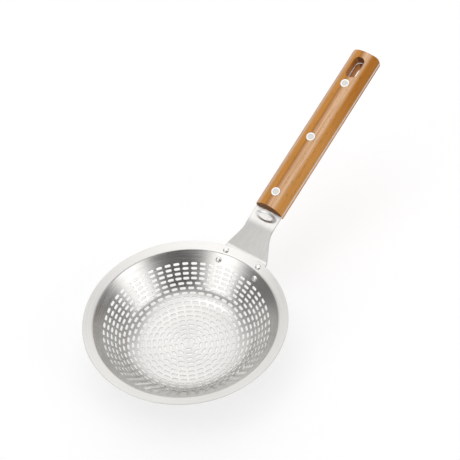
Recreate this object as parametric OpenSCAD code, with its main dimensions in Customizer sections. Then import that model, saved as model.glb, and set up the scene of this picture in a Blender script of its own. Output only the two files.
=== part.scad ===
// Perforated sifting scoop: a pressed steel bowl with rings of slots, riveted to a flat steel
// strap that runs back as the full tang of a handle with two wooden scales.
// The bowl rests on z = 0 with its axis on Z, and the handle rises along +X.

/* [Bowl] */
// Radius of the rim, to the cut edge of the sheet
rim_r = 100; // [90:1:120]
// Thickness of the bowl's sheet
sheet = 1; // [0.8:0.1:1.5]
// Height of the rim's top edge above the resting plane
rim_z = 45.3; // [42:0.1:50]
// Radius of the flat disc at the bottom
flat_r = 18; // [12:1:24]
// Radius of curvature of the shallow dish around the flat
dish_curve = 155; // [120:5:200]
// Slope at which the dish meets the knee
dish_slope = 10; // [8:0.5:14]
// Radius of curvature of the knee between dish and wall
knee_curve = 40; // [30:1:50]
// Slope of the straight wall
wall_slope = 48.5; // [44:0.5:52]
// Slope of the flat flange around the rim, rising outwards
flange_slope = 18; // [12:1:20]
// Radius of the bend between wall and flange, on the sheet's upper side
shoulder_bend = 4; // [2:0.5:5]

/* [Slots] */
// Number of rings of slots
rings = 17; // [8:1:17]
// Length of a slot along its ring
slot_l = 6.2; // [4:0.1:6.6]
// Width of a slot
slot_w = 2.5; // [1.5:0.1:3]
// Distance from the centre to the first ring, along the sheet
first_ring = 6.7; // [6:0.1:9]
// Distance between the first rings, along the sheet
ring_step = 5.65; // [5:0.05:6]
// How much each step is shorter than the one before it
ring_step_loss = 0.04; // [0:0.01:0.06]
// Distance between the middles of neighbouring slots in a ring
slot_pitch = 8.7; // [8:0.1:12]
// Most slots in a ring; the top rings all have this number, one above the other
most_slots = 55; // [40:1:60]
// Number of top rings whose slots line up
aligned_rings = 4; // [0:1:6]

/* [Strap] */
// Thickness of the strap
strap_t = 2.2; // [1.5:0.1:3]
// Width of the tang and the scales at the scales' front end
tang_w = 31.4; // [28:0.2:32.4]
// Width of the tang and the scales at the handle's far end
end_w = 32.4; // [31.4:0.2:36]
// Width of the foot that hugs the underside of the flange and the wall
foot_w = 54; // [54:0.5:58]
// Lowest radius of the foot's apron on the wall
apron_r = 83.4; // [83:0.1:84]
// Slope of the neck's steepest stretch
neck_slope = 40; // [34:1:44]
// Bend radius where the neck leaves the rim
heel_bend = 12; // [8:1:16]
// Bend radius where the neck turns into the tang
neck_bend = 30; // [20:1:36]
// Distance from the scales to where the neck starts to widen
flank_gap = 20; // [16:1:24]
// Angle of the neck's flaring flanks
flank_angle = 23; // [16:0.5:24]
// Radius of the curve between the flanks and the tang
flank_curve = 25; // [20:1:30]
// Length of the oval dent pressed into the neck
dent_l = 26; // [20:1:26]
// Width of the dent
dent_w = 11; // [8:0.5:11]
// Depth of the dent
dent_depth = 1.2; // [0.8:0.1:1.4]
// Distance of the dent from the scales
dent_gap = 6.6; // [6:0.1:8]

/* [Handle] */
// Distance of the scales' front end from the bowl's axis
handle_x = 141.4; // [140:0.2:145]
// Height of the strap's middle at the scales' front end
handle_z = 70.8; // [70:0.1:74]
// Slope of the handle
handle_rise = 23.5; // [20:0.5:28]
// Length of the scales along the strap
scale_l = 200; // [197:0.5:215]
// Height of the scales' crown above the strap's middle
crown_h = 13.5; // [11:0.5:14]
// Height of the scales' straight sides above the strap's middle
side_h = 4.5; // [3:0.25:6]
// How far the scales' front end leans back
front_lean = 1.6; // [1:0.2:5]
// How far the scales' far end leans forward
end_lean = 2; // [1:0.2:4]
// Radius in plan of the corners at the far end
end_corner = 3.5; // [2:0.5:8]
// Length of the hanging slot
hang_l = 25; // [18:1:27]
// Width of the hanging slot
hang_w = 12.2; // [10:0.2:14]
// Radius of the hanging slot's corners
hang_corner = 4.8; // [3:0.2:5]
// Distance from the far end to the middle of the hanging slot
hang_inset = 22.5; // [19:0.5:23]

/* [Fasteners] */
// Distance from the scales' front end to the first handle pin
first_pin = 18.5; // [15:0.5:21]
// Distance between the handle pins
pin_step = 69; // [60:1:70]
// Diameter of a handle pin
pin_d = 6; // [5:0.5:7]
// Outer diameter of the washers let into the scales
washer_d = 9.6; // [8.6:0.2:11]
// Thickness of a washer
washer_t = 2.5; // [1.5:0.1:4]
// How far the pins' ends lie below the scales' crown
pin_sink = 0.2; // [0:0.05:0.4]
// Diameter of the domed rivet heads in the bowl
rivet_head_d = 6.2; // [5:0.2:7]
// Height of the rivet heads
rivet_head_h = 1.8; // [1:0.1:2.4]
// Diameter of the rivets' shanks
shank_d = 3.2; // [2.5:0.1:4]
// Diameter of the rivets' closed ends behind the strap
tail_d = 5.4; // [4.5:0.1:6]
// Height of the rivets' closed ends
tail_h = 1.2; // [0.8:0.1:1.6]
// Radius at which the flange rivets sit
flange_rivet_r = 95.2; // [94:0.1:96]
// Angle of each flange rivet from the handle's line
flange_rivet_angle = 12.3; // [10:0.1:14]
// Radius at which the wall rivets sit
wall_rivet_r = 86.4; // [86:0.1:87]
// Angle of each wall rivet from the handle's line
wall_rivet_angle = 15.3; // [12:0.1:15.5]

/* [Hidden] */
$fn = 96;
deep = 6;          // how far cutting tools reach past a sheet
big = 300;         // longer than any part
arc_steps = 8;     // straight pieces that stand for one bend of a profile
steel = "silver";
wood = [0.78, 0.55, 0.30];

// ---- the bowl's meridian, followed along the sheet's lower side ----
dish_r = flat_r + dish_curve * sin(dish_slope);
dish_z = dish_curve * (1 - cos(dish_slope));
knee_r = dish_r + knee_curve * (sin(wall_slope) - sin(dish_slope));
knee_z = dish_z + knee_curve * (cos(dish_slope) - cos(wall_slope));
dish_end = flat_r + dish_curve * dish_slope * PI / 180;
knee_end = dish_end + knee_curve * (wall_slope - dish_slope) * PI / 180;

// Slope, radius and height of the sheet's lower side at distance s from the centre.
function slope_at(s) =
  s < flat_r ? 0 :
  s < dish_end ? (s - flat_r) / dish_curve * 180 / PI :
  s < knee_end ? dish_slope + (s - dish_end) / knee_curve * 180 / PI : wall_slope;
function r_at(s) =
  s < flat_r ? s :
  s < dish_end ? flat_r + dish_curve * sin(slope_at(s)) :
  s < knee_end ? dish_r + knee_curve * (sin(slope_at(s)) - sin(dish_slope)) :
  knee_r + (s - knee_end) * cos(wall_slope);
function z_at(s) =
  s < flat_r ? 0 :
  s < dish_end ? dish_curve * (1 - cos(slope_at(s))) :
  s < knee_end ? dish_z + knee_curve * (cos(dish_slope) - cos(slope_at(s))) :
  knee_z + (s - knee_end) * sin(wall_slope);

// Heights of the wall's and flange's planes, up = distance above the sheet's lower side.
function wall_z(r, up = 0) = knee_z + (r - knee_r) * tan(wall_slope) + up / cos(wall_slope);
function flange_z(r, up = 0) =
  rim_z - (rim_r - r) * tan(flange_slope) + (up - sheet) / cos(flange_slope);

// The shoulder bend: the circle that touches wall and flange, its centre under the flange.
bend_low = shoulder_bend - sheet;
bend_r = (wall_z(0, -bend_low) - flange_z(0, -bend_low)) / (tan(flange_slope) - tan(wall_slope));
bend_z = wall_z(bend_r, -bend_low);

// Points of the meridian at distance up from the sheet's lower side, from the axis to the rim.
function meridian(up) = [
  [0, up], [flat_r, up],
  for (i = [1:arc_steps]) let (a = dish_slope * i / arc_steps)
    [flat_r + (dish_curve - up) * sin(a), dish_curve - (dish_curve - up) * cos(a)],
  for (i = [1:arc_steps]) let (a = dish_slope + (wall_slope - dish_slope) * i / arc_steps)
    [dish_r + knee_curve * (sin(a) - sin(dish_slope)) - up * sin(a),
     dish_z + knee_curve * (cos(dish_slope) - cos(a)) + up * cos(a)],
  for (i = [0:arc_steps]) let (a = wall_slope + (flange_slope - wall_slope) * i / arc_steps)
    [bend_r - (bend_low + up) * sin(a), bend_z + (bend_low + up) * cos(a)],
  [rim_r, flange_z(rim_r, up)]
];
function backwards(list) = [for (i = [len(list) - 1:-1:0]) list[i]];

// ---- places of the rings ----
function ring_s(i) = first_ring + i * ring_step - i * (i - 1) / 2 * ring_step_loss;
function ring_slots(i) =
  i >= rings - aligned_rings ? most_slots :
  min(most_slots, max(4, round(2 * PI * r_at(ring_s(i)) / slot_pitch)));

// ---- the strap's middle line in the XZ plane, as [x, z, slope] ----
ease = 0.05;       // how far the neck lies below the foot's top, so that their faces stay apart
heel_x = rim_r - 1;
heel_z = flange_z(heel_x, -strap_t / 2 - ease);
heel_dx = heel_bend * (sin(neck_slope) - sin(flange_slope));
heel_dz = heel_bend * (cos(flange_slope) - cos(neck_slope));
turn_dx = neck_bend * (sin(neck_slope) - sin(handle_rise));
turn_dz = neck_bend * (cos(handle_rise) - cos(neck_slope));
// Where the bend ends on the tang's line.
turn_x = (handle_z - handle_x * tan(handle_rise) - heel_z - heel_dz - turn_dz
          + (heel_x + heel_dx + turn_dx) * tan(neck_slope))
         / (tan(neck_slope) - tan(handle_rise));
turn_z = handle_z - (handle_x - turn_x) * tan(handle_rise);
foot_in = 7;       // how far the flat of the neck reaches in under the flange
strap_line = [
  [heel_x - foot_in, heel_z - foot_in * tan(flange_slope), flange_slope],
  for (i = [0:arc_steps]) let (a = flange_slope + (neck_slope - flange_slope) * i / arc_steps)
    [heel_x + heel_bend * (sin(a) - sin(flange_slope)),
     heel_z + heel_bend * (cos(flange_slope) - cos(a)), a],
  for (i = [0:arc_steps]) let (a = neck_slope + (handle_rise - neck_slope) * i / arc_steps)
    [turn_x - neck_bend * (sin(a) - sin(handle_rise)),
     turn_z - neck_bend * (cos(handle_rise) - cos(a)), a],
  [handle_x + 2 * scale_l * cos(handle_rise), handle_z + 2 * scale_l * sin(handle_rise), handle_rise]
];
function strap_side(up) = [for (p = strap_line) [p[0] - up * sin(p[2]), p[1] + up * cos(p[2])]];

// Half of the strap's outline in the handle's own frame: flaring flank, curve, tang, rounded end.
flank_l = 50;      // length of the straight flank, cut off under the flange
flank_start = flank_gap + flank_curve * sin(flank_angle);
function end_arc(side) = [for (i = [0:arc_steps]) let (a = 90 * i / arc_steps)
  [scale_l - end_corner * (1 - sin(a)), side * (end_w / 2 - end_corner * (1 - cos(a)))]];
function half_strap(side) = concat(
  [[-flank_start - flank_l,
    side * (tang_w / 2 + flank_curve * (1 - cos(flank_angle)) + flank_l * tan(flank_angle))]],
  [for (i = [0:arc_steps]) let (a = flank_angle * (1 - i / arc_steps))
    [-flank_gap - flank_curve * sin(a), side * (tang_w / 2 + flank_curve * (1 - cos(a)))]],
  end_arc(side));
function half_scale(side) = concat([[0, side * tang_w / 2]], end_arc(side));

half_tang = strap_t / 2;
crown_rise = crown_h - side_h;
crown_curve = (pow(tang_w / 2, 2) + pow(crown_rise, 2)) / (2 * crown_rise);
dent_curve = (pow(dent_l / 2, 2) + pow(dent_depth, 2)) / (2 * dent_depth);
dent_r = (pow(dent_w / 2, 2) + pow(dent_depth, 2)) / (2 * dent_depth);
dent_wall = 1.5;   // metal left under the dent
pin_end = crown_h - pin_sink;

// ---- frames of reference ----
module on_handle() translate([handle_x, 0, handle_z]) rotate([0, -handle_rise, 0]) children();
module at_pin(i) on_handle() translate([first_pin + (i - 1) * pin_step, 0, 0]) children();
module on_flange(side) rotate([0, 0, side * flange_rivet_angle])
  translate([flange_rivet_r, 0, flange_z(flange_rivet_r)]) rotate([0, -flange_slope, 0]) children();
module on_wall(side) rotate([0, 0, side * wall_rivet_angle])
  translate([wall_rivet_r, 0, wall_z(wall_rivet_r)]) rotate([0, -wall_slope, 0]) children();

// ---- the bowl ----
// One ring of slots: each is bounded by two cones about the bowl's axis and two radial planes.
module ring_cutter(i) {
  s = ring_s(i);
  count = ring_slots(i);
  half = slot_l / 2 / r_at(s) * 180 / PI;
  for (k = [0:count - 1])
    rotate([0, 0, 360 * (k + (i < rings - aligned_rings ? i % 2 : 0) / 2) / count - half])
      rotate_extrude(angle = 2 * half)
        translate([r_at(s), z_at(s)]) rotate(slope_at(s)) square([slot_w, deep], center = true);
}

module shank_cutters() for (side = [-1, 1]) {
  on_flange(side) cylinder(h = 2 * deep, d = shank_d, center = true);
  on_wall(side) cylinder(h = 2 * deep, d = shank_d, center = true);
}

// Room in the neck's underside for the closed ends of the flange rivets.
module tail_cutters() for (side = [-1, 1])
  on_flange(side) translate([0, 0, -strap_t - ease - deep]) cylinder(h = deep, d = tail_d + 0.4);

module bowl() color(steel) difference() {
  rotate_extrude() polygon(concat(meridian(0), backwards(meridian(sheet))));
  for (i = [0:rings - 1]) ring_cutter(i);
  shank_cutters();
}

// ---- the strap ----
// The foot hugs the flange's underside and the wall's outside: a sector about the bowl's axis,
// cut to a straight-sided strip.
module foot() {
  r_end = rim_r - 2;
  spread = asin(foot_w / 2 / apron_r) + 2;
  outside = concat(
    [[apron_r, wall_z(apron_r)]],
    [for (i = [0:arc_steps]) let (a = wall_slope + (flange_slope - wall_slope) * i / arc_steps)
      [bend_r - bend_low * sin(a), bend_z + bend_low * cos(a)]],
    [[r_end, flange_z(r_end)], [r_end, flange_z(r_end, -strap_t)]]);
  corner_r = (wall_z(0, -strap_t) - flange_z(0, -strap_t)) / (tan(flange_slope) - tan(wall_slope));
  inside = [[corner_r, wall_z(corner_r, -strap_t)],
    [apron_r + strap_t * sin(wall_slope), wall_z(apron_r) - strap_t * cos(wall_slope)]];
  intersection() {
    rotate([0, 0, -spread]) rotate_extrude(angle = 2 * spread) polygon(concat(outside, inside));
    cube([big, foot_w, big], center = true);
  }
}

// Neck and tang: the strap's side view, cut to the strap's outline and kept within the foot.
module neck_and_tang() intersection() {
  rotate([90, 0, 0]) linear_extrude(3 * tang_w, center = true)
    polygon(concat(strap_side(half_tang), backwards(strap_side(-half_tang))));
  on_handle() linear_extrude(big, center = true)
    polygon(concat(half_strap(1), backwards(half_strap(-1))));
  cube([4 * big, foot_w - 1, 2 * big], center = true);
}

// A lemon shape about the Y axis that sinks an oval dent_l by dent_w into the strap's top.
module dent_shape(extra) {
  steps = 2 * arc_steps;
  reach = dent_l * 0.6;
  translate([-dent_gap, 0, half_tang - dent_depth + dent_r]) rotate([90, 0, 0]) rotate_extrude()
    polygon(concat([[0, -reach]],
      [for (i = [0:steps]) let (u = reach * (2 * i / steps - 1))
        [sqrt(dent_curve * dent_curve - u * u) - dent_curve + dent_r + extra, u]],
      [[0, reach]]));
}

module hang_cutter() {
  long = hang_l / 2 - hang_corner;
  wide = hang_w / 2 - hang_corner;
  translate([scale_l - hang_inset, 0, 0]) linear_extrude(big, center = true) {
    square([hang_l, 2 * wide], center = true);
    square([2 * long, hang_w], center = true);
    for (x = [-long, long], y = [-wide, wide]) translate([x, y]) circle(hang_corner);
  }
}

module pin_cutters(d) for (i = [0:2])
  translate([first_pin + i * pin_step, 0, 0]) cylinder(h = big, d = d, center = true);

module handle_strap() color(steel) difference() {
  union() {
    foot();
    neck_and_tang();
    on_handle() intersection() {
      dent_shape(dent_wall);
      translate([-dent_gap, 0, -deep / 2]) cube([3 * dent_w, 2 * dent_l, deep], center = true);
    }
  }
  on_handle() dent_shape(0);
  on_handle() pin_cutters(pin_d);
  on_handle() hang_cutter();
  shank_cutters();
  tail_cutters();
}

// ---- the scales ----
// Side view of what is cut off a scale's end at x = 0, so that the end leans by that much.
module lean_cutter(lean)
  polygon([[-1, half_tang], [0, half_tang], [lean, crown_h], [lean, crown_h + 1], [-1, crown_h + 1]]);

// The upper scale in the handle's own frame; the lower one is its mirror image.
module scale_shape() difference() {
  intersection() {
    rotate([90, 0, 90]) linear_extrude(2 * scale_l, center = true) intersection() {
      translate([-tang_w, half_tang]) square([2 * tang_w, crown_h]);
      translate([0, crown_h - crown_curve]) circle(crown_curve);
    }
    linear_extrude(big, center = true) polygon(concat(half_scale(1), backwards(half_scale(-1))));
  }
  rotate([90, 0, 0]) linear_extrude(2 * tang_w, center = true) {
    lean_cutter(front_lean);
    translate([scale_l, 0]) mirror([1, 0]) lean_cutter(end_lean);
  }
  pin_cutters(pin_d);
  for (i = [0:2]) translate([first_pin + i * pin_step, 0, pin_end - washer_t])
    cylinder(h = deep, d = washer_d);
  hang_cutter();
}

module upper_scale() color(wood) on_handle() scale_shape();
module lower_scale() color(wood) on_handle() mirror([0, 0, 1]) scale_shape();

// ---- fasteners ----
// A rivet whose seat is at z = grip: domed head above, shank, closed end below z = -strap_t.
module rivet() color(steel) rotate_extrude() {
  head_curve = (pow(rivet_head_d / 2, 2) + pow(rivet_head_h, 2)) / (2 * rivet_head_h);
  head_angle = asin(rivet_head_d / 2 / head_curve);
  polygon(concat(
    [[0, -strap_t - tail_h], [tail_d / 2 - 0.5, -strap_t - tail_h], [tail_d / 2, -strap_t - tail_h + 0.5],
     [tail_d / 2, -strap_t], [shank_d / 2, -strap_t], [shank_d / 2, sheet]],
    [for (i = [0:arc_steps]) let (a = head_angle * (1 - i / arc_steps))
      [head_curve * sin(a), sheet + rivet_head_h - head_curve * (1 - cos(a))]]));
}

module handle_pin(i) color(steel) at_pin(i) cylinder(h = 2 * pin_end, d = pin_d, center = true);

module washer(i, side) color(steel) at_pin(i) mirror([0, 0, side < 0 ? 1 : 0])
  translate([0, 0, pin_end - washer_t]) difference() {
    rotate_extrude() polygon([[0, 0], [washer_d / 2, 0], [washer_d / 2, washer_t - 0.3],
      [washer_d / 2 - 0.3, washer_t], [0, washer_t]]);
    cylinder(h = 3 * washer_t, d = pin_d, center = true);
  }

bowl();
handle_strap();
upper_scale();
lower_scale();
on_flange(-1) rivet();  // flange_rivet_1
on_flange(1) rivet();  // flange_rivet_2
on_wall(-1) rivet();  // wall_rivet_1
on_wall(1) rivet();  // wall_rivet_2
handle_pin(1);  // handle_pin_1
handle_pin(2);  // handle_pin_2
handle_pin(3);  // handle_pin_3
washer(1, 1);  // upper_washer_1
washer(2, 1);  // upper_washer_2
washer(3, 1);  // upper_washer_3
washer(1, -1);  // lower_washer_1
washer(2, -1);  // lower_washer_2
washer(3, -1);  // lower_washer_3
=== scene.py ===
"""Looks of a perforated sifting scoop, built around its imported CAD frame.

Lengths are millimetres and angles degrees until a mesh is made; Blender's own units are metres.
A sheet or a plank is drawn flat, as an outline with holes, and then placed: the bowl's outline
is laid out from the bowl's centre, the strap's and the scales' along the handle.
"""

import math

import bpy
import numpy as np
from mathutils import Matrix, Vector
from mathutils.geometry import delaunay_2d_cdt


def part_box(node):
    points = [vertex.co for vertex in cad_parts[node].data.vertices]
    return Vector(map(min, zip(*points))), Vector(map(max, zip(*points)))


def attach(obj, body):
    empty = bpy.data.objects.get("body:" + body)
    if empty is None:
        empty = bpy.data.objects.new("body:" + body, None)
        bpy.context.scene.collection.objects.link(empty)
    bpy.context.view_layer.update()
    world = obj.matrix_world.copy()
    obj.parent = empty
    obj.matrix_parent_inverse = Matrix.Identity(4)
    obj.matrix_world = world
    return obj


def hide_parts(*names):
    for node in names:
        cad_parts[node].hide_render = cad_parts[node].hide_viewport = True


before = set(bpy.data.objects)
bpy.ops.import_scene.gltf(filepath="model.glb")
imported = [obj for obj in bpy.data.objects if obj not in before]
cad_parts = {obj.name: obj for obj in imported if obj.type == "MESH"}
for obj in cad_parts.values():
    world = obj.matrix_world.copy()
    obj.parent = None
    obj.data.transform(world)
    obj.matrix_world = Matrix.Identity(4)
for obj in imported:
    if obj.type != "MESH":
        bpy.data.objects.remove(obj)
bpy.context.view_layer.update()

MM = 0.001


def span(node):
    """Lowest and highest corner of a CAD node."""
    low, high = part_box(node)
    return np.array(low) / MM, np.array(high) / MM


def middle(node):
    low, high = span(node)
    return (low + high) / 2


# ---- the bowl, measured from its CAD node ----
bowl_high = span("bowl")[1]
RIM_R = bowl_high[0]
RIM_Z = bowl_high[2]
SHEET = 1.0
FLAT_R = 18.0
DISH_CURVE = 155.0
DISH_SLOPE = 10.0
KNEE_CURVE = 40.0
WALL_SLOPE = 48.5
FLANGE_SLOPE = 18.0
BEND_LOW = 3.0  # radius of the shoulder bend on the sheet's lower side

# ---- its slots ----
RINGS = 17
SLOT_L = 6.2
SLOT_W = 2.5
FIRST_RING = 6.7
RING_STEP = 5.65
RING_STEP_LOSS = 0.04
SLOT_PITCH = 8.7
MOST_SLOTS = 55
ALIGNED_RINGS = 4

# ---- the handle's line, from the CAD pins ----
PINS = 3
FIRST_PIN = 18.5
pin_1, pin_3 = middle("handle_pin_1"), middle("handle_pin_3")
PIN_STEP = np.linalg.norm(pin_3 - pin_1) / (PINS - 1)
along = (pin_3 - pin_1) / np.linalg.norm(pin_3 - pin_1)
RISE = math.degrees(math.atan2(along[2], along[0]))
front = pin_1 - FIRST_PIN * along  # the strap's middle at the scales' front end

# ---- strap, scales and fasteners ----
STRAP_T = 2.2
HALF_TANG = STRAP_T / 2
TANG_W = 31.4  # at the scales' front end
END_W = span("upper_scale")[1][1] * 2  # at the far end
FOOT_W = 54.0
APRON_R = 83.4
APRON_CUT = 0.8  # size of the cut across the apron's lower corners
NECK_SLOPE = 40.0
HEEL_BEND = 12.0
NECK_BEND = 30.0
HEEL_IN = 1.0  # distance from the rim to where the neck starts to bend
FLANK_GAP = 20.0
FLANK_ANGLE = 23.0
FLANK_CURVE = 25.0
DENT_L = 26.0
DENT_W = 11.0
DENT_DEPTH = 1.2
DENT_GAP = 6.6
SCALE_L = 200.0
CROWN_H = 13.5
SIDE_H = 4.5
FRONT_LEAN = 1.6
END_LEAN = 2.0
LEAN_EASE = 8.0  # distance from either end over which the wood follows its lean
END_CORNER = 3.5
HANG_L = 25.0
HANG_W = 12.2
HANG_CORNER = 4.8
HANG_INSET = 22.5
PIN_D = 6.0
WASHER_D = 9.6
WASHER_T = 2.5
PIN_END = CROWN_H - 0.2
HEAD_D = 6.2
HEAD_H = 1.8
DOME_FULLNESS = 2.2  # 2 is half an ellipse, more has fuller shoulders
SHANK_D = 3.2
TAIL_D = 5.4
TAIL_H = 1.2
FLANGE_RIVET = (95.2, 12.3)  # radius and angle from the handle's line
WALL_RIVET = (86.4, 15.3)

# ---- edges ----
SLOT_ROUND = 0.25
RIM_ROUND = 0.35
STRAP_ROUND = 0.4
SCALE_ROUND = 0.5
TANG_SLOT_WIDER = 0.4  # how far the tang's slot stands back from the wood's
SIDE_STEP = 2.5  # longest side of the handle's outlines
SHANK_SIDES = 12
PIN_SIDES = 32
WASHER_SIDES = 64
RIM_SIDES = 240
GAP = 0.05  # between the strap and what lies on it


def sind(a):
    return np.sin(np.radians(a))


def cosd(a):
    return np.cos(np.radians(a))


# ---------------------------------------------------------------- curves followed by length
class Profile:
    """A curve in the XZ plane whose slope changes evenly between knots along its length."""

    FINE = 0.02

    def __init__(self, start, lengths, slopes):
        knots = np.concatenate([[0], np.cumsum(lengths)])
        self.s = np.append(np.arange(0, knots[-1], self.FINE), knots[-1])
        self.slope = np.interp(self.s, knots, slopes)
        step = np.diff(self.s)
        mid = (self.slope[1:] + self.slope[:-1]) / 2
        self.x = start[0] + np.concatenate([[0], np.cumsum(step * cosd(mid))])
        self.z = start[1] + np.concatenate([[0], np.cumsum(step * sind(mid))])
        self.knots = knots

    def at(self, s, up):
        """X, Z and slope at distance s, up above the curve; straight on beyond its ends."""
        slope = np.interp(s, self.s, self.slope)
        beyond = s - np.clip(s, self.s[0], self.s[-1])
        x = np.interp(s, self.s, self.x) + beyond * cosd(slope) - up * sind(slope)
        z = np.interp(s, self.s, self.z) + beyond * sind(slope) + up * cosd(slope)
        return x, z, slope


def bowl_meridian():
    """The sheet's lower side from the axis to the rim."""
    dish = DISH_CURVE * math.radians(DISH_SLOPE)
    knee = KNEE_CURVE * math.radians(WALL_SLOPE - DISH_SLOPE)
    bend = BEND_LOW * math.radians(WALL_SLOPE - FLANGE_SLOPE)
    knee_r = FLAT_R + DISH_CURVE * sind(DISH_SLOPE) + KNEE_CURVE * (sind(WALL_SLOPE) - sind(DISH_SLOPE))
    knee_z = DISH_CURVE * (1 - cosd(DISH_SLOPE)) + KNEE_CURVE * (cosd(DISH_SLOPE) - cosd(WALL_SLOPE))
    reach = RIM_R - knee_r - BEND_LOW * (sind(WALL_SLOPE) - sind(FLANGE_SLOPE))
    climb = RIM_Z - SHEET / cosd(FLANGE_SLOPE) - knee_z - BEND_LOW * (cosd(FLANGE_SLOPE) - cosd(WALL_SLOPE))
    slopes = [[cosd(WALL_SLOPE), cosd(FLANGE_SLOPE)], [sind(WALL_SLOPE), sind(FLANGE_SLOPE)]]
    wall, flange = np.linalg.solve(slopes, [reach, climb])
    lengths = [FLAT_R, dish, knee, wall, bend, flange]
    return Profile((0, 0), lengths, [0, 0, DISH_SLOPE, WALL_SLOPE, WALL_SLOPE, FLANGE_SLOPE, FLANGE_SLOPE])


MERIDIAN = bowl_meridian()
WALL_END, BEND_END, RIM_S = MERIDIAN.knots[4:7]


def along_bowl(r):
    """Distance along the bowl's sheet at radius r."""
    return np.interp(r, MERIDIAN.x, MERIDIAN.s)


def strap_middle():
    """The strap's middle line from where it leaves the flange to the end of the tang, and the
    distance along it at which the scales start."""
    heel = MERIDIAN.at(along_bowl(RIM_R - HEEL_IN), -HALF_TANG - GAP)
    heel_l = HEEL_BEND * math.radians(NECK_SLOPE - FLANGE_SLOPE)
    turn_l = NECK_BEND * math.radians(NECK_SLOPE - RISE)
    heel_x = HEEL_BEND * (sind(NECK_SLOPE) - sind(FLANGE_SLOPE))
    heel_z = HEEL_BEND * (cosd(FLANGE_SLOPE) - cosd(NECK_SLOPE))
    turn_x = NECK_BEND * (sind(NECK_SLOPE) - sind(RISE))
    turn_z = NECK_BEND * (cosd(RISE) - cosd(NECK_SLOPE))
    run = front[0] - heel[0] - heel_x - turn_x
    climb = front[2] - heel[1] - heel_z - turn_z
    slopes = [[cosd(NECK_SLOPE), cosd(RISE)], [sind(NECK_SLOPE), sind(RISE)]]
    steep, flat = np.linalg.solve(slopes, [run, climb])
    lengths = [heel_l, steep, turn_l, flat + SCALE_L]
    line = Profile(heel[:2], lengths, [FLANGE_SLOPE, NECK_SLOPE, NECK_SLOPE, RISE, RISE])
    return line, heel_l + steep + turn_l + flat


STRAP, NECK_L = strap_middle()


# ---------------------------------------------------------------- placing flat drawings
def place_bowl(p, up):
    """A point of the flat drawing of the bowl, up above the sheet's lower side."""
    r, z, _ = MERIDIAN.at(np.hypot(p[:, 0], p[:, 1]), up)
    angle = np.arctan2(p[:, 1], p[:, 0])
    return np.stack([r * np.cos(angle), r * np.sin(angle), z], 1)


def smooth(t):
    t = np.clip(t, 0, 1)
    return t * t * (3 - 2 * t)


def place_strap(p, up):
    """A point of the strap's flat drawing: x from the scales' front end, y across, up from its
    middle. Under the flange the strap hugs the bowl; beyond the rim it is bent in one way only."""
    s = p[:, 0] + NECK_L
    x, z, _ = STRAP.at(s, up)
    neck = np.stack([x, p[:, 1], z], 1)
    r, z, _ = MERIDIAN.at(along_bowl(RIM_R - HEEL_IN) + s, up - HALF_TANG - GAP)
    foot = np.stack([np.sqrt(np.maximum(r * r - p[:, 1] ** 2, 0)), p[:, 1], z], 1)
    share = smooth((s + 2) / 4)[:, None]
    return foot + (neck - foot) * share


def place_handle(p, up, side=1):
    """A point of the handle's flat drawing, up from the strap's middle."""
    s, up = p[:, 0], up * side
    x = front[0] + s * cosd(RISE) - up * sind(RISE)
    z = front[2] + s * sind(RISE) + up * cosd(RISE)
    return np.stack([x, p[:, 1], z], 1)


# ---------------------------------------------------------------- loops of the flat drawings
def arc(centre, radius, start, end, count):
    a = np.radians(np.linspace(start, end, count))
    return np.stack([centre[0] + radius * np.cos(a), centre[1] + radius * np.sin(a)], 1)


def circle(centre, radius, count):
    return arc(centre, radius, 0, 360 * (1 - 1 / count), count)


def rounded(length, width, corner, centre=(0, 0), count=7):
    """A rectangle with rounded corners."""
    x, y = length / 2 - corner, width / 2 - corner
    places = [(x, y, 0), (-x, y, 90), (-x, -y, 180), (x, -y, 270)]
    quarters = [arc((cx, cy), corner, a, a + 90, count) for cx, cy, a in places]
    return np.concatenate(quarters) + np.array(centre)


def divided(loop, longest):
    """The loop with extra points, so that none of its sides is longer than that."""
    points = []
    for a, b in zip(loop, np.roll(loop, -1, 0)):
        parts = max(1, math.ceil(np.linalg.norm(b - a) / longest))
        points += [a + (b - a) * k / parts for k in range(parts)]
    return np.array(points)


def turned(loop, anticlockwise):
    x, y = loop[:, 0], loop[:, 1]
    area = np.sum(x * np.roll(y, -1) - y * np.roll(x, -1))
    return loop if (area > 0) == anticlockwise else loop[::-1]


def outward(loop):
    """At each point, the way out of the material that lies on the loop's left."""
    ahead = np.roll(loop, -1, 0) - loop
    ahead /= np.linalg.norm(ahead, axis=1)[:, None]
    both = ahead + np.roll(ahead, 1, 0)
    both /= np.linalg.norm(both, axis=1)[:, None]
    return np.stack([both[:, 1], -both[:, 0]], 1)


def unit(v):
    return v / np.maximum(np.linalg.norm(v, axis=1), 1e-12)[:, None]


# ---------------------------------------------------------------- solids from flat drawings
class Solid:
    """Collects points, normals and faces of one closed mesh."""

    def __init__(self):
        self.points, self.normals, self.flat, self.faces, self.count = [], [], [], [], 0

    def add(self, points, normals, flat):
        first = self.count
        self.points.append(points)
        self.normals.append(normals)
        self.flat.append(flat)
        self.count += len(points)
        return np.arange(first, self.count)

    def band(self, upper, lower):
        """Faces between two closed rows of points."""
        rows = zip(upper, lower, np.roll(lower, -1), np.roll(upper, -1))
        self.faces += [tuple(int(i) for i in face) for face in rows]


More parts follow.
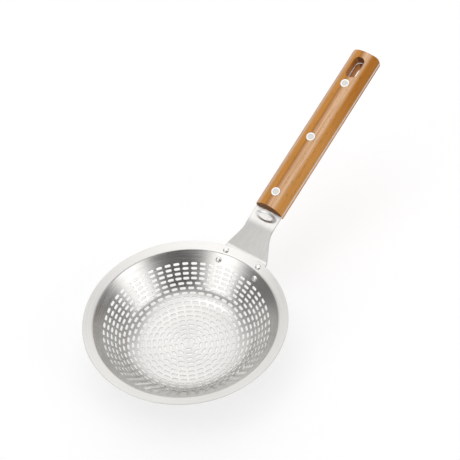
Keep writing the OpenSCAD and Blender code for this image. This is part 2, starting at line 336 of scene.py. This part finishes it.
def cap(loops, fill, edge):
    """Triangles over the drawing, kept edge away from its loops. Returns the flat points, the
    triangles and the points' numbers for each loop."""
    rows = [loop - outward(loop) * edge for loop in loops]
    ends = np.cumsum([len(row) for row in rows])
    numbers = [list(range(end - len(row), end)) for row, end in zip(rows, ends)]
    flat = np.concatenate(rows + [fill])
    vectors = [Vector(p) for p in flat.tolist()]
    made = delaunay_2d_cdt(vectors, [], numbers, 2, 1e-7)  # 2: triangles, with the holes left out
    points, triangles, origins = np.array([v[:] for v in made[0]]), np.array(made[2]), made[3]
    where = {o: i for i, group in enumerate(origins) for o in group}
    used = np.unique(triangles)
    fresh = np.full(len(points), -1)
    fresh[used] = np.arange(len(used))
    found = [np.array([fresh[where[i]] for i in own]) for own in numbers]
    return points[used], fresh[triangles], found


EPS = 0.01  # how far apart points are compared to find a surface's direction


def surface_normal(place, height, p):
    def at(q):
        return place(q, height(q))

    across = at(p + [EPS, 0]) - at(p - [EPS, 0])
    ahead = at(p + [0, EPS]) - at(p - [0, EPS])
    return unit(np.cross(across, ahead))


def wall_normal(place, p, out, up):
    return unit(place(p + out * EPS, up) - place(p - out * EPS, up))


def slab(outer, holes, fill, place, low, high, edge, steps=2, shrink=None, flip=False):
    """A closed solid over a flat drawing, between the heights low(p) and high(p), its edges
    rounded. shrink gives, for a hole's number, (middle, share, height): below that height the
    hole is narrowed to that share, which makes a step. flip is for a place that mirrors."""
    loops = [turned(outer, True)] + [turned(h, False) for h in holes]
    flat, triangles, rows = cap(loops, fill, edge)
    solid = Solid()
    facing = -1 if flip else 1
    low_flat = flat.copy()
    for number, (centre, share, _) in (shrink or {}).items():
        row = rows[number + 1]
        low_flat[row] = centre + (flat[row] - centre) * share
    up_normal = facing * surface_normal(place, high, flat)
    down_normal = -facing * surface_normal(place, low, low_flat)
    upper = solid.add(place(flat, high(flat)), up_normal, flat)
    under = solid.add(place(low_flat, low(low_flat)), down_normal, low_flat)
    solid.faces += [tuple(int(upper[i]) for i in t) for t in triangles]
    solid.faces += [tuple(int(under[i]) for i in t[::-1]) for t in triangles]
    turns = [math.radians(90 * k / steps) for k in range(1, steps + 1)]
    for number, (loop, row) in enumerate(zip(loops, rows)):
        out = outward(loop)
        last = upper[row]
        top_normal, low_normal = up_normal[row], down_normal[row]

        def ring(base, height, sign, normal, turn):
            """One row of the rounding that leads from a cap to the wall."""
            p = base - out * edge * (1 - math.sin(turn))
            up = height(p) - sign * edge * (1 - math.cos(turn))
            side = wall_normal(place, p, out, up)
            mixed = unit(normal * math.cos(turn) + side * math.sin(turn))
            return solid.add(place(p, up), mixed, p)

        for turn in turns:
            nearer = ring(loop, high, 1, top_normal, turn)
            solid.band(last, nearer)
            last = nearer
        base = loop
        if shrink and number - 1 in shrink:
            centre, share, height = shrink[number - 1]
            base = centre + (loop - centre) * share
            level = np.full(len(loop), float(height))
            for p in (loop, base):
                side = wall_normal(place, p, out, level)
                nearer = solid.add(place(p, level), side, p)
                solid.band(last, nearer)
                last = nearer
        for turn in reversed(turns):
            nearer = ring(base, low, -1, low_normal, turn)
            solid.band(last, nearer)
            last = nearer
        solid.band(last, under[row])
    if flip:
        solid.faces = [face[::-1] for face in solid.faces]
    return solid


def build(name, solid, material, node, normals=True):
    """The Blender object of a solid, in metres, standing for a CAD node."""
    mesh = bpy.data.meshes.new(name)
    points = np.concatenate(solid.points) * MM
    mesh.from_pydata(points.tolist(), [], solid.faces)
    mesh.polygons.foreach_set("use_smooth", [True] * len(mesh.polygons))
    flat = np.concatenate(solid.flat)
    corner = np.zeros(len(mesh.loops), int)
    mesh.loops.foreach_get("vertex_index", corner)
    layer = mesh.uv_layers.new(name="flat")
    layer.data.foreach_set("uv", (flat[corner] / (2 * SCALE_L) + 0.5).ravel())
    if normals:
        mesh.normals_split_custom_set_from_vertices(np.concatenate(solid.normals).tolist())
    else:
        mesh.set_sharp_from_angle(angle=math.radians(40))
    mesh.materials.append(material)
    piece = bpy.data.objects.new(name, mesh)
    bpy.context.scene.collection.objects.link(piece)
    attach(piece, "root")
    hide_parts(node)
    return piece


def turned_rows(solid, profile, place, count):
    """Adds a ring of points for each (radius, height) of the profile, or one point on the axis."""
    angles = 2 * np.pi * np.arange(count) / count
    rows = []
    for r, z in profile:
        if r == 0:
            ring = np.array([[0, 0, z]])
        else:
            ring = np.stack([r * np.cos(angles), r * np.sin(angles), np.full(count, z)], 1)
        world = ring @ place[:3, :3].T + place[:3, 3]
        rows.append(solid.add(world, world, ring[:, :2]))
    return rows


def revolved(profile, place, count=48):
    """A solid of revolution from (radius, height) points that start and end on the axis."""
    solid = Solid()
    rows = turned_rows(solid, profile, place, count)
    for a, b in zip(rows, rows[1:]):
        if len(a) == 1 and len(b) == 1:
            continue
        if len(a) == 1:
            solid.faces += [(int(a[0]), int(b[(i + 1) % count]), int(b[i])) for i in range(count)]
        elif len(b) == 1:
            solid.faces += [(int(b[0]), int(a[i]), int(a[(i + 1) % count])) for i in range(count)]
        else:
            solid.band(b, a)
    return solid


def frame_at(origin, tilt, turn=0):
    """A place whose Z axis leans back by tilt from the direction turn around the bowl's axis."""
    return np.array(
        Matrix.Rotation(math.radians(turn), 4, "Z")
        @ Matrix.Translation(Vector(origin))
        @ Matrix.Rotation(math.radians(-tilt), 4, "Y")
    )


# ---------------------------------------------------------------- the pieces' shapes
def constant(value):
    return lambda p: np.full(len(p), float(value))


def ring_place(i):
    """Distance from the centre, number of slots and first angle of ring i."""
    s = FIRST_RING + i * RING_STEP - i * (i - 1) / 2 * RING_STEP_LOSS
    r = MERIDIAN.at(s, 0)[0]
    aligned = i >= RINGS - ALIGNED_RINGS
    count = MOST_SLOTS if aligned else min(MOST_SLOTS, max(4, round(2 * math.pi * r / SLOT_PITCH)))
    first = 0 if aligned else (i % 2) * 180 / count
    return s, r, count, first


def slot_loop(s, r, angle):
    """A slot with round ends, bent along its ring."""
    end = rounded(SLOT_L, SLOT_W, SLOT_W / 2 - 0.01, count=5)
    distance = s - end[:, 1]
    turn = np.radians(angle) + end[:, 0] / r
    return np.stack([distance * np.cos(turn), distance * np.sin(turn)], 1)


def rivet_places():
    """(name, radius, signed angle, slope) of the four rivets in the bowl."""
    kinds = [("flange_rivet", FLANGE_RIVET, FLANGE_SLOPE), ("wall_rivet", WALL_RIVET, WALL_SLOPE)]
    return [
        (f"{name}_{number}", r, side * angle, slope)
        for name, (r, angle), slope in kinds
        for number, side in ((1, -1), (2, 1))
    ]


def bowl_solid():
    holes = []
    circles = [(FIRST_RING * 0.45, 10)]
    for i in range(RINGS):
        s, r, count, first = ring_place(i)
        holes += [slot_loop(s, r, first + 360 * k / count) for k in range(count)]
        circles.append((s + RING_STEP / 2, 3 * count))
    circles.pop()
    last_ring = ring_place(RINGS - 1)[0]
    plain = np.linspace(last_ring + RING_STEP * 0.45, WALL_END, 4)
    bend = np.linspace(WALL_END, BEND_END, 7)[1:]
    flange = np.linspace(BEND_END, RIM_S - 3 * RIM_ROUND, 6)[1:]
    circles += [(d, RIM_SIDES) for d in np.concatenate([plain, bend, flange])]
    fill = np.concatenate([circle((0, 0), d, n) for d, n in circles] + [np.zeros((1, 2))])
    for _, r, angle, _ in rivet_places():
        d = along_bowl(r)
        centre = np.array([d * cosd(angle), d * sind(angle)])
        holes.append(circle(centre, SHANK_D / 2, SHANK_SIDES))
        fill = fill[np.linalg.norm(fill - centre, axis=1) > SHANK_D / 2 + 3 * SLOT_ROUND]
    outer = circle((0, 0), RIM_S, RIM_SIDES)
    return slab(outer, holes, fill, place_bowl, constant(0), constant(SHEET), SLOT_ROUND)


def strap_half_width(s):
    """Half the strap's width at distance s from the scales' front end."""
    x, z, _ = STRAP.at(s + NECK_L, 0)
    x = (x - front[0]) * cosd(RISE) + (z - front[2]) * sind(RISE)
    curve = FLANK_CURVE * sind(FLANK_ANGLE)
    bent = np.clip(-x - FLANK_GAP, 0, curve)
    straight = np.maximum(-x - FLANK_GAP - curve, 0)
    flare = FLANK_CURVE - np.sqrt(FLANK_CURVE**2 - bent**2) + straight * np.tan(np.radians(FLANK_ANGLE))
    return np.minimum(TANG_W / 2 + flare, FOOT_W / 2)


def dent(p):
    """Share of the dent's depth at a point of the strap's drawing: a flat oval bottom inside a
    soft slope."""
    across = (p[:, 0] + DENT_GAP) / (DENT_W / 2)
    wide = p[:, 1] / (DENT_L / 2)
    return smooth((1.1 - np.hypot(across, wide)) / 0.6)


def strap_top(p):
    return HALF_TANG - DENT_DEPTH * dent(p)


def strap_bottom(p):
    return -HALF_TANG - 0.4 * DENT_DEPTH * dent(p)


def hang_loop(wider=0.0):
    """The hanging slot, wider by that much all around."""
    loop = rounded(
        HANG_L + 2 * wider, HANG_W + 2 * wider, HANG_CORNER + wider, (SCALE_L - HANG_INSET, 0)
    )
    return divided(loop, 2)


def pin_loops(diameter):
    return [circle((FIRST_PIN + i * PIN_STEP, 0), diameter / 2, PIN_SIDES) for i in range(PINS)]


def clear_of(fill, loops, margin):
    """The fill points that lie outside these round or oval loops, with a margin."""
    for loop in loops:
        middle_point = loop.mean(0)
        half = (loop.max(0) - loop.min(0)) / 2 + margin
        fill = fill[np.any(np.abs(fill - middle_point) > half, axis=1)]
    return fill


def strap_solid():
    heel = -NECK_L
    start = heel - (along_bowl(RIM_R - HEEL_IN) - along_bowl(APRON_R))
    stations = np.concatenate([np.arange(start, -FLANK_GAP, 1.5), [-FLANK_GAP, 0]])
    side = np.stack([stations, strap_half_width(stations)], 1)
    corner = arc((SCALE_L - END_CORNER, END_W / 2 - END_CORNER), END_CORNER, 90, 0, 9)
    half = np.concatenate([side, corner])
    half[0] += [APRON_CUT, 0]
    half = np.concatenate([[[start, FOOT_W / 2 - APRON_CUT]], half])
    outer = divided(np.concatenate([half, half[::-1] * [1, -1]]), SIDE_STEP)
    rivets = []
    for _, r, angle, _ in rivet_places():
        s = heel - (along_bowl(RIM_R - HEEL_IN) - along_bowl(r))
        rivets.append(circle((s, r * sind(angle)), SHANK_D / 2, SHANK_SIDES))
    holes = [hang_loop(TANG_SLOT_WIDER)] + pin_loops(PIN_D) + rivets
    rows = np.concatenate([np.arange(start + 1.2, -0.5, 0.9), np.arange(6, SCALE_L - 3, 8)])
    fill = []
    for s in rows:
        half_width = strap_half_width(np.array([s]))[0] if s < 0 else TANG_W / 2
        count = int(2 * half_width / (1.2 if s < 0 else 6))
        y = np.linspace(-half_width + 1.2, half_width - 1.2, count)
        fill.append(np.stack([np.full(count, s), y], 1))
    fill = clear_of(np.concatenate(fill), holes, 0.8)
    return slab(outer, holes, fill, place_strap, strap_bottom, strap_top, STRAP_ROUND, steps=3)


def scale_top(p):
    rise = CROWN_H - SIDE_H
    curve = ((TANG_W / 2) ** 2 + rise**2) / (2 * rise)
    return CROWN_H - curve + np.sqrt(curve**2 - np.minimum(np.abs(p[:, 1]), END_W / 2) ** 2)


def scale_solid(side):
    front_corner = 1.2
    corner = arc((front_corner, TANG_W / 2 - front_corner), front_corner, 180, 90, 5)
    end = arc((SCALE_L - END_CORNER, END_W / 2 - END_CORNER), END_CORNER, 90, 0, 9)
    half = np.concatenate([corner, end])
    outer = divided(np.concatenate([half, half[::-1] * [1, -1]]), SIDE_STEP)
    washers = pin_loops(WASHER_D)
    holes = [hang_loop()] + washers
    stations = np.arange(2.5, SCALE_L - 2, 3.2)
    s, y = np.meshgrid(stations, np.linspace(-TANG_W / 2 + 1.6, TANG_W / 2 - 1.6, 19))
    fill = np.stack([s.ravel(), y.ravel()], 1)
    end_centre = SCALE_L - END_CORNER
    corner_y = END_W / 2 - END_CORNER
    too_far = np.hypot(fill[:, 0] - end_centre, np.abs(fill[:, 1]) - corner_y) > END_CORNER - 1.2
    in_corner = (fill[:, 0] > end_centre) & (np.abs(fill[:, 1]) > corner_y)
    fill = clear_of(fill[~(too_far & in_corner)], holes, 1.0)
    seat = HALF_TANG + GAP / 2
    shrink = {
        i + 1: (washer.mean(0), PIN_D / WASHER_D, PIN_END - WASHER_T) for i, washer in enumerate(washers)
    }

    def place(p, up):
        share = (up - seat) / (CROWN_H - seat)
        near = np.clip(1 - p[:, 0] / LEAN_EASE, 0, 1)
        far = np.clip(1 - (SCALE_L - p[:, 0]) / LEAN_EASE, 0, 1)
        lean = share * (FRONT_LEAN * near - END_LEAN * far)
        return place_handle(p + np.stack([lean, 0 * lean], 1), up, side)

    return slab(
        outer, holes, fill, place, constant(seat), scale_top, SCALE_ROUND, 3, shrink, flip=side < 0
    )


def rivet_solid(r, angle, slope):
    x, z, _ = MERIDIAN.at(along_bowl(r), 0)
    dome = [
        (share * HEAD_D / 2, SHEET + HEAD_H * (1 - share**DOME_FULLNESS) ** (1 / DOME_FULLNESS))
        for share in np.sin(np.radians(np.linspace(86, 0, 14)))[:-1]
    ]
    tail = [(0, -STRAP_T - TAIL_H), (TAIL_D / 2 - 0.5, -STRAP_T - TAIL_H)]
    tail += [(TAIL_D / 2 - 0.15, -STRAP_T - TAIL_H + 0.15), (TAIL_D / 2, -STRAP_T - TAIL_H + 0.5)]
    waist = [(TAIL_D / 2, -STRAP_T - GAP), (SHANK_D / 2, -STRAP_T - GAP), (SHANK_D / 2, SHEET)]
    top = [(HEAD_D / 2 - 0.05, SHEET)] + dome + [(0, SHEET + HEAD_H)]
    return revolved(tail + waist + top, frame_at((x, 0, z), slope, angle))


def pin_solid(i):
    """A pin through the handle, its ends ground flush and a little hollow."""
    half = [(0, PIN_END - 0.06), (PIN_D / 2 - 1.2, PIN_END - 0.04), (PIN_D / 2 - 0.35, PIN_END)]
    half += [(PIN_D / 2 - 0.1, PIN_END - 0.05), (PIN_D / 2 - 0.02, PIN_END - 0.3)]
    profile = [(r, -z) for r, z in half] + half[::-1]
    place = front + (FIRST_PIN + i * PIN_STEP) * along
    return revolved(profile, frame_at(place, RISE))


def washer_solid(i, side):
    """A washer let into a scale, its outer edge rounded."""
    inner, outer, top, bottom = PIN_D / 2, WASHER_D / 2 - 0.03, PIN_END, PIN_END - WASHER_T + 0.02
    profile = [(inner, bottom), (outer, bottom), (outer, top - 0.3), (outer - 0.09, top - 0.09)]
    profile += [(outer - 0.3, top), (inner + 0.14, top), (inner + 0.04, top - 0.05), (inner, top - 0.2)]
    place = frame_at(front + (FIRST_PIN + i * PIN_STEP) * along, RISE)
    if side < 0:
        place = place @ np.array(Matrix.Rotation(math.pi, 4, "X"))
    solid = Solid()
    rows = turned_rows(solid, profile, place, WASHER_SIDES)
    for a, b in zip(rows, rows[1:] + rows[:1]):
        solid.band(b, a)
    return solid


# ---------------------------------------------------------------- materials
class Nodes:
    """A short way to write a node tree."""

    def __init__(self, tree):
        self.tree = tree
        self.tree.nodes.clear()

    def add(self, kind, inputs=None, **settings):
        node = self.tree.nodes.new(kind)
        for key, value in settings.items():
            setattr(node, key, value)
        for key, value in (inputs or {}).items():
            if isinstance(value, bpy.types.NodeSocket):
                self.tree.links.new(value, node.inputs[key])
            else:
                node.inputs[key].default_value = value
        return node

    def math(self, operation, a, b=0.0):
        return self.add("ShaderNodeMath", {0: a, 1: b}, operation=operation).outputs[0]

    def noise(self, vector, scale, detail=3.0, roughness=0.5, w=None):
        inputs = {"Vector": vector, "Scale": scale, "Detail": detail, "Roughness": roughness}
        if w is not None:
            inputs["W"] = w
        kind = "4D" if w is not None else "3D"
        return self.add("ShaderNodeTexNoise", inputs, noise_dimensions=kind).outputs["Fac"]

    def between(self, value, low, high, to_low=0.0, to_high=1.0):
        inputs = {"Value": value, "From Min": low, "From Max": high, "To Min": to_low, "To Max": to_high}
        return self.add("ShaderNodeMapRange", inputs, interpolation_type="SMOOTHSTEP").outputs[0]

    def mix(self, share, a, b):
        node = self.add("ShaderNodeMix", data_type="RGBA")
        for socket, value in ((node.inputs[0], share), (node.inputs[6], a), (node.inputs[7], b)):
            if isinstance(value, bpy.types.NodeSocket):
                self.tree.links.new(value, socket)
            else:
                socket.default_value = value
        return node.outputs[2]

    def bump(self, height, strength, distance_mm):
        inputs = {"Height": height, "Strength": strength, "Distance": distance_mm * MM}
        return self.add("ShaderNodeBump", inputs).outputs[0]

    def surface(self, **inputs):
        shader = self.add("ShaderNodeBsdfPrincipled", inputs)
        self.add("ShaderNodeOutputMaterial", {"Surface": shader.outputs[0]})


def new_material(name):
    material = bpy.data.materials.new(name)
    material.use_nodes = True
    return material, Nodes(material.node_tree)


def shade(level, tint=(1.0, 1.0, 1.0)):
    return (level * tint[0], level * tint[1], level * tint[2], 1.0)


WARM_STEEL = (1.0, 0.985, 0.955)


def spun_steel():
    """The bowl: brushed around its axis."""
    material, n = new_material("spun_steel")
    place = n.add("ShaderNodeTexCoord").outputs["Object"]
    parts = n.add("ShaderNodeSeparateXYZ", {0: place}).outputs
    flat = n.add("ShaderNodeCombineXYZ", {0: parts[0], 1: parts[1]}).outputs[0]
    radius = n.add("ShaderNodeVectorMath", {0: flat}, operation="LENGTH").outputs["Value"]
    turn = n.add("ShaderNodeVectorMath", {0: flat}, operation="NORMALIZE").outputs[0]
    around = n.add("ShaderNodeSeparateXYZ", {0: turn}).outputs
    lines = []
    for fine, slow in ((4200.0, 3.0), (1500.0, 1.6)):
        depth = n.math("MULTIPLY", parts[2], fine)
        vector = n.add(
            "ShaderNodeCombineXYZ",
            {
                0: n.math("MULTIPLY", radius, fine),
                1: n.math("MULTIPLY", around[0], slow),
                2: n.math("MULTIPLY", around[1], slow),
            },
        ).outputs[0]
        lines.append(n.noise(vector, 1.0, 2.0, 0.6, depth))
    cloud = n.noise(place, 22.0, 2.0)
    tone = n.mix(n.between(lines[1], 0.3, 0.7), shade(0.645, WARM_STEEL), shade(0.69, WARM_STEEL))
    tone = n.mix(n.between(cloud, 0.35, 0.75, 0.0, 0.15), tone, shade(0.58, (1.0, 0.97, 0.92)))
    rough = n.between(lines[1], 0.25, 0.75, 0.20, 0.28)
    tangent = n.add("ShaderNodeTangent", direction_type="RADIAL", axis="Z").outputs[0]
    n.surface(
        **{
            "Base Color": tone,
            "Metallic": 1.0,
            "Roughness": rough,
            "Anisotropic": 0.80,
            "Tangent": tangent,
            "Normal": n.bump(lines[0], 0.08, 0.02),
        }
    )
    return material


def handle_axes(n):
    """Distance along the handle, across it and up from the strap's middle, in metres."""
    place = n.add("ShaderNodeTexCoord").outputs["Object"]
    moved = n.add(
        "ShaderNodeMapping",
        {
            "Vector": place,
            "Location": (front[0] * MM, 0.0, front[2] * MM),
            "Rotation": (0.0, math.radians(-RISE), 0.0),
        },
        vector_type="TEXTURE",
    ).outputs[0]
    return n.add("ShaderNodeSeparateXYZ", {0: moved}).outputs


def lengthwise(n, axes, fine, slow):
    """Texture coordinates that draw a noise out along the handle."""
    return n.add(
        "ShaderNodeCombineXYZ",
        {
            0: n.math("MULTIPLY", axes[0], slow),
            1: n.math("MULTIPLY", axes[1], fine),
            2: n.math("MULTIPLY", axes[2], fine),
        },
    ).outputs[0]


def strap_steel():
    """The strap: satin, brushed lengthwise."""
    material, n = new_material("strap_steel_finish")
    axes = handle_axes(n)
    fine = n.noise(lengthwise(n, axes, 2600.0, 40.0), 1.0, 2.0, 0.6)
    broad = n.noise(lengthwise(n, axes, 500.0, 12.0), 1.0, 2.0)
    tone = n.mix(n.between(broad, 0.3, 0.7), shade(0.60, WARM_STEEL), shade(0.64, WARM_STEEL))
    tangent = n.add("ShaderNodeTangent", direction_type="UV_MAP", uv_map="flat").outputs[0]
    n.surface(
        **{
            "Base Color": tone,
            "Metallic": 1.0,
            "Roughness": n.between(fine, 0.25, 0.75, 0.28, 0.36),
            "Anisotropic": 0.45,
            "Tangent": tangent,
            "Normal": n.bump(fine, 0.04, 0.02),
        }
    )
    return material


def turned_steel(name, level, rough):
    """Small bright parts: rivets, pins and washers, with faint marks of their grinding."""
    material, n = new_material(name)
    place = n.add("ShaderNodeTexCoord").outputs["Object"]
    marks = n.noise(place, 2500.0, 3.0, 0.6)
    broad = n.noise(place, 400.0, 2.0)
    tone = n.mix(n.between(broad, 0.3, 0.7), shade(level * 0.94, WARM_STEEL), shade(level, WARM_STEEL))
    n.surface(
        **{
            "Base Color": tone,
            "Metallic": 1.0,
            "Roughness": n.between(marks, 0.25, 0.75, rough * 0.85, rough * 1.2),
            "Normal": n.bump(marks, 0.15, 0.01),
        }
    )
    return material


GOLDEN = (0.712, 0.321, 0.075)
DEEP_GOLD = (0.514, 0.180, 0.013)
# Tan wood with a painted sheen: the varnish's highlight along the crown, painted into the colour.
TAN_AND_PAINTED_SHEEN = (0.867, 0.546, 0.326)
DARK_LINE = (0.460, 0.180, 0.042)
ORANGE = (0.640, 0.271, 0.044)
# Paler wood near the +Y edge with a painted sheen, the light on the rounded edge painted into the colour.
EDGE_AND_PAINTED_SHEEN = (0.640, 0.430, 0.290)
WARM_EDGE = (0.600, 0.330, 0.140)
# Bands of the wood from the handle's -Y side to its +Y side: (share of the width, colour). The two pale tan
# bands are the wood's own tan with a painted sheen of the varnish.
WOOD_BANDS = [
    (0.00, GOLDEN),
    (0.18, GOLDEN),
    (0.25, TAN_AND_PAINTED_SHEEN),
    (0.42, TAN_AND_PAINTED_SHEEN),
    (0.55, DARK_LINE),
    (0.61, ORANGE),
    (0.73, ORANGE),
    (0.88, EDGE_AND_PAINTED_SHEEN),
    (0.94, EDGE_AND_PAINTED_SHEEN),
    (1.00, WARM_EDGE),
]


def wood():
    """Oiled hardwood, banded along the handle, with pores and a darker end grain. Two of its pale bands are
    tan wood with a painted varnish sheen.
    """
    material, n = new_material("oiled_wood")
    axes = handle_axes(n)
    wave = n.noise(lengthwise(n, axes, 45.0, 5.0), 1.0, 2.0)
    shift = n.math("MULTIPLY", n.math("SUBTRACT", wave, 0.5), 0.10)
    share = n.math("ADD", n.math("DIVIDE", axes[1], TANG_W * MM), 0.5)
    share = n.math("ADD", share, shift)
    ramp = n.add("ShaderNodeValToRGB", {0: share})
    stops = ramp.color_ramp.elements
    for stop, (where, colour) in zip(stops, (WOOD_BANDS[0], WOOD_BANDS[-1])):
        stop.position, stop.color = where, (*colour, 1.0)
    for where, colour in WOOD_BANDS[1:-1]:
        stop = stops.new(where)
        stop.color = (*colour, 1.0)
    banded = ramp.outputs[0]
    near_edge = n.between(share, 0.14, 0.30, 1.0, 0.0)
    far = n.between(axes[0], 0.06, 0.18)
    banded = n.mix(n.math("MULTIPLY", near_edge, far), banded, (*DEEP_GOLD, 1.0))
    grain = n.noise(lengthwise(n, axes, 900.0, 25.0), 1.0, 4.0, 0.65)
    streak = n.noise(lengthwise(n, axes, 260.0, 9.0), 1.0, 2.0)
    tone = n.mix(n.between(grain, 0.40, 0.72, 0.0, 0.42), banded, shade(0.40, (1.0, 0.42, 0.11)))
    tone = n.mix(n.between(streak, 0.5, 0.75, 0.0, 0.42), tone, shade(0.5, (1.0, 0.46, 0.13)))
    pore = n.noise(lengthwise(n, axes, 1500.0, 160.0), 1.0, 1.0)
    pores = n.between(pore, 0.67, 0.75)
    tone = n.mix(n.math("MULTIPLY", pores, 0.7), tone, shade(0.10, (1.0, 0.5, 0.25)))
    normal = n.add("ShaderNodeNewGeometry").outputs["Normal"]
    facing = n.add(
        "ShaderNodeVectorMath", {0: normal, 1: tuple(along)}, operation="DOT_PRODUCT"
    ).outputs["Value"]
    end = n.between(n.math("ABSOLUTE", facing), 0.72, 0.9)
    rings = n.add(
        "ShaderNodeTexWave",
        {"Vector": lengthwise(n, axes, 1.0, 0.0), "Scale": 95.0, "Distortion": 5.0, "Detail": 2.0},
        wave_type="RINGS",
        rings_direction="X",
    ).outputs["Fac"]
    end_tone = n.mix(rings, shade(0.14, (1.0, 0.37, 0.07)), shade(0.28, (1.0, 0.41, 0.10)))
    tone = n.mix(end, tone, end_tone)
    height = n.math("SUBTRACT", n.math("MULTIPLY", grain, 0.4), pores)
    n.surface(
        **{
            "Base Color": tone,
            "Roughness": n.between(grain, 0.3, 0.7, 0.45, 0.58),
            "Specular IOR Level": 0.15,
            "Normal": n.bump(height, 0.35, 0.05),
        }
    )
    return material


FLOOR_TONE = 0.42
FLOOR_R = 20.0  # metres
FLOOR_DROP = 0.0002  # metres that the floor lies below the bowl
FLOOR_GLOW = 0.605  # the floor is partly lit from behind, so that shadows on it stay faint


def floor_material():
    material, n = new_material("studio_floor")
    n.surface(
        **{
            "Base Color": shade(FLOOR_TONE),
            "Roughness": 0.9,
            "Specular IOR Level": 0.05,
            "Emission Color": shade(1.0),
            "Emission Strength": FLOOR_GLOW,
        }
    )
    return material


# ---------------------------------------------------------------- the studio
def direction(azimuth, elevation):
    """A unit vector towards a compass angle from +X and a height above the floor."""
    flat = cosd(elevation)
    return (float(flat * cosd(azimuth)), float(flat * sind(azimuth)), float(sind(elevation)))


BASE_LIGHT = 0.10
# Soft round lamps, each a patch of the sky: (towards, widest angle, angle at which it is full, brightness)
SOFTBOXES = [
    (direction(39.5, 60), 85, 50, 0.42),
    (direction(39.5, 50), 34, 6, 0.28),
    (direction(39.5, 12), 65, 22, 0.62),
    (direction(0, 90), 38, 12, 0.85),
    (direction(120, 60), 20, 5, 0.95),
    (direction(168, 29), 22, 9, 2.0),
    (direction(281, 28), 23, 10, 1.8),
]


def studio_light():
    world = bpy.data.worlds.new("studio")
    bpy.context.scene.world = world
    world.use_nodes = True
    n = Nodes(world.node_tree)
    towards = n.add("ShaderNodeTexCoord").outputs["Generated"]
    level = BASE_LIGHT
    for axis, widest, full, brightness in SOFTBOXES:
        facing = n.add("ShaderNodeVectorMath", {0: towards, 1: axis}, operation="DOT_PRODUCT")
        lit = n.between(facing.outputs["Value"], float(cosd(widest)), float(cosd(full)), 0.0, brightness)
        level = n.math("ADD", lit, level)
    sky = n.add("ShaderNodeBackground", {"Color": shade(1.0), "Strength": level})
    n.add("ShaderNodeOutputWorld", {"Surface": sky.outputs[0]})


def floor():
    loop = circle((0, 0), FLOOR_R, 96)
    mesh = bpy.data.meshes.new("studio_floor")
    points = [(x, y, -FLOOR_DROP) for x, y in loop]
    mesh.from_pydata(points, [], [tuple(range(len(points)))])
    mesh.materials.append(floor_material())
    plane = bpy.data.objects.new("studio_floor", mesh)
    bpy.context.scene.collection.objects.link(plane)


# The camera's place, in degrees and metres.
VIEW_AZIMUTH = -50.45
VIEW_ELEVATION = 46.90
VIEW_ROLL = -3.76
VIEW_DISTANCE = 1.0001
AIM_RIGHT = 0.0414  # from the bowl's middle to the point the camera looks at
AIM_UP = 0.1140
AIM_HEIGHT = 0.001
LENS = 78.26
SENSOR = 36.0


def camera():
    data = bpy.data.cameras.new("camera")
    data.lens = LENS
    data.sensor_width = SENSOR
    eye = bpy.data.objects.new("camera", data)
    bpy.context.scene.collection.objects.link(eye)
    az, el, roll = (math.radians(a) for a in (VIEW_AZIMUTH, VIEW_ELEVATION, VIEW_ROLL))
    right = Vector((math.cos(az), math.sin(az), 0))
    back = Vector((math.sin(az) * math.cos(el), -math.cos(az) * math.cos(el), math.sin(el)))
    up = back.cross(right)
    turned_right = right * math.cos(roll) + up * math.sin(roll)
    turned_up = up * math.cos(roll) - right * math.sin(roll)
    place = back * VIEW_DISTANCE + turned_right * AIM_RIGHT + turned_up * AIM_UP
    place.z += AIM_HEIGHT
    axes = Matrix((turned_right, turned_up, back)).transposed().to_4x4()
    eye.matrix_world = Matrix.Translation(place) @ axes
    bpy.context.scene.camera = eye


# ---------------------------------------------------------------- everything
def main():
    bowl_finish, strap_finish, wood_finish = spun_steel(), strap_steel(), wood()
    rivet_finish = turned_steel("polished_steel", 0.90, 0.32)
    pin_finish = turned_steel("pin_steel_finish", 0.58, 0.38)
    washer_finish = turned_steel("washer_steel_finish", 0.80, 0.30)
    build("bowl_shell", bowl_solid(), bowl_finish, "bowl")
    build("strap_body", strap_solid(), strap_finish, "handle_strap")
    build("upper_scale_wood", scale_solid(1), wood_finish, "upper_scale")
    build("lower_scale_wood", scale_solid(-1), wood_finish, "lower_scale")
    for name, r, angle, slope in rivet_places():
        build(name + "_domed", rivet_solid(r, angle, slope), rivet_finish, name, False)
    for i in range(PINS):
        number = i + 1
        build(f"pin_{number}", pin_solid(i), pin_finish, f"handle_pin_{number}", False)
        for side, word in ((1, "upper"), (-1, "lower")):
            node = f"{word}_washer_{number}"
            build(node + "_ring", washer_solid(i, side), washer_finish, node, False)
    floor()
    studio_light()
    camera()
    bpy.context.scene.view_settings.view_transform = "Standard"


main()
